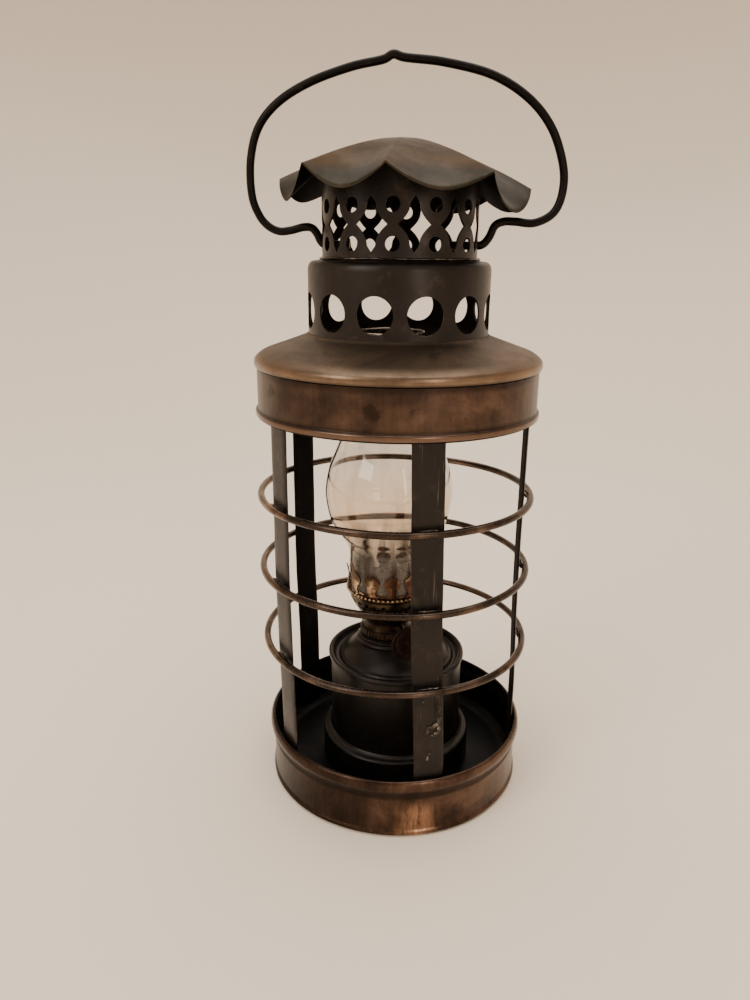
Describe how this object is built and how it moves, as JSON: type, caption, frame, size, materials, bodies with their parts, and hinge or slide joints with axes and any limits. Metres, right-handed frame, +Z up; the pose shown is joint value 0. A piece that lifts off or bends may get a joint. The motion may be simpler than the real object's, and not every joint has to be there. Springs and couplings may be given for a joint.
{
  "type": "cage lantern with oil lamp",
  "caption": "Round hanging lantern: open strap cage with wire guard rings, lift-off vented lid, fluted cap and wire bail, round an oil lamp with a wick knob and a glass chimney.",
  "frame": {"origin": "centre of the base's underside, on the surface that the lantern stands on", "axes": "+Z up along the lantern's axis; X along the bail's pivot axis; -Y is the front"},
  "size_m": [0.1286, 0.1228, 0.3137],
  "materials": {
    "copper": "aged copper with brown patina, brushed",
    "cap_copper": "aged copper fading to grey-brown",
    "dark_tin": "dark brown-black satin",
    "strap_metal": "dark grey-brown, worn",
    "bronze_wire": "brown bronze, rubbed",
    "black_wire": "near-black glossy brown",
    "font_metal": "black satin",
    "burner_brass": "tarnished",
    "knob_copper": "dark red-brown with a rubbed rim",
    "glass": "clear, sooted near the burner",
    "wick_cotton": "woven cotton, charred tip"
  },
  "bodies": {
    "cage": {"base_band": "copper", "base_floor": "dark_tin", "strap_1": "strap_metal", "strap_2": "strap_metal", "strap_3": "strap_metal", "strap_4": "strap_metal", "strap_5": "strap_metal", "guard_ring_lower": "bronze_wire", "guard_ring_middle": "bronze_wire", "guard_ring_upper": "bronze_wire", "skirt_band": "copper"},
    "lid": {"shoulder_cover": "copper", "lid_collar": "dark_tin", "vent_drum": "dark_tin", "crown_gallery": "dark_tin", "rain_cap": "cap_copper"},
    "bail": {"bail_handle": "black_wire"},
    "lamp": {"lamp_foot": "font_metal", "font_tank": "font_metal", "font_top": "font_metal", "font_collar": "burner_brass"},
    "burner": {"burner_cup": "burner_brass", "burner_basket": "burner_brass", "prong_gallery": "burner_brass", "flame_spreader": "burner_brass", "wick_tube": "burner_brass"},
    "knob": {"wick_shaft": "burner_brass", "spur_wheel": "burner_brass", "thumbwheel": "knob_copper"},
    "wick": {"wick": "wick_cotton"},
    "chimney": {"glass_chimney": "glass"}
  },
  "joints": [
    {"name": "lid_lift", "type": "slide", "parent": "cage", "child": "lid", "axis": [0, 0, 1], "range_m": [0, 0.06]},
    {"name": "bail_swing", "type": "hinge", "parent": "lid", "child": "bail", "pos_m": [0, 0, 0.2431], "axis": [1, 0, 0], "range_deg": [-125, 125]},
    {"name": "lamp_lift", "type": "slide", "parent": "cage", "child": "lamp", "axis": [0, 0, 1], "range_m": [0, 0.03]},
    {"name": "burner_unscrew", "type": "hinge", "parent": "lamp", "child": "burner", "pos_m": [-0.0028, 0, 0.07], "axis": [0, 0, 1], "continuous": true},
    {"name": "wick_knob", "type": "hinge", "parent": "burner", "child": "knob", "pos_m": [0.0009, 0.00124, 0.076], "axis": [-0.3173, 0.9483, 0], "range_deg": [-90, 180]},
    {"name": "wick_feed", "type": "slide", "parent": "burner", "child": "wick", "axis": [0, 0, 1], "range_m": [-0.0045, 0.009]},
    {"name": "chimney_lift", "type": "slide", "parent": "burner", "child": "chimney", "axis": [0, 0, 1], "range_m": [0, 0.03]}
  ],
  "couplings": [
    {"joint": "wick_feed", "follows": "wick_knob", "m_per_rad": 0.0028}
  ]
}
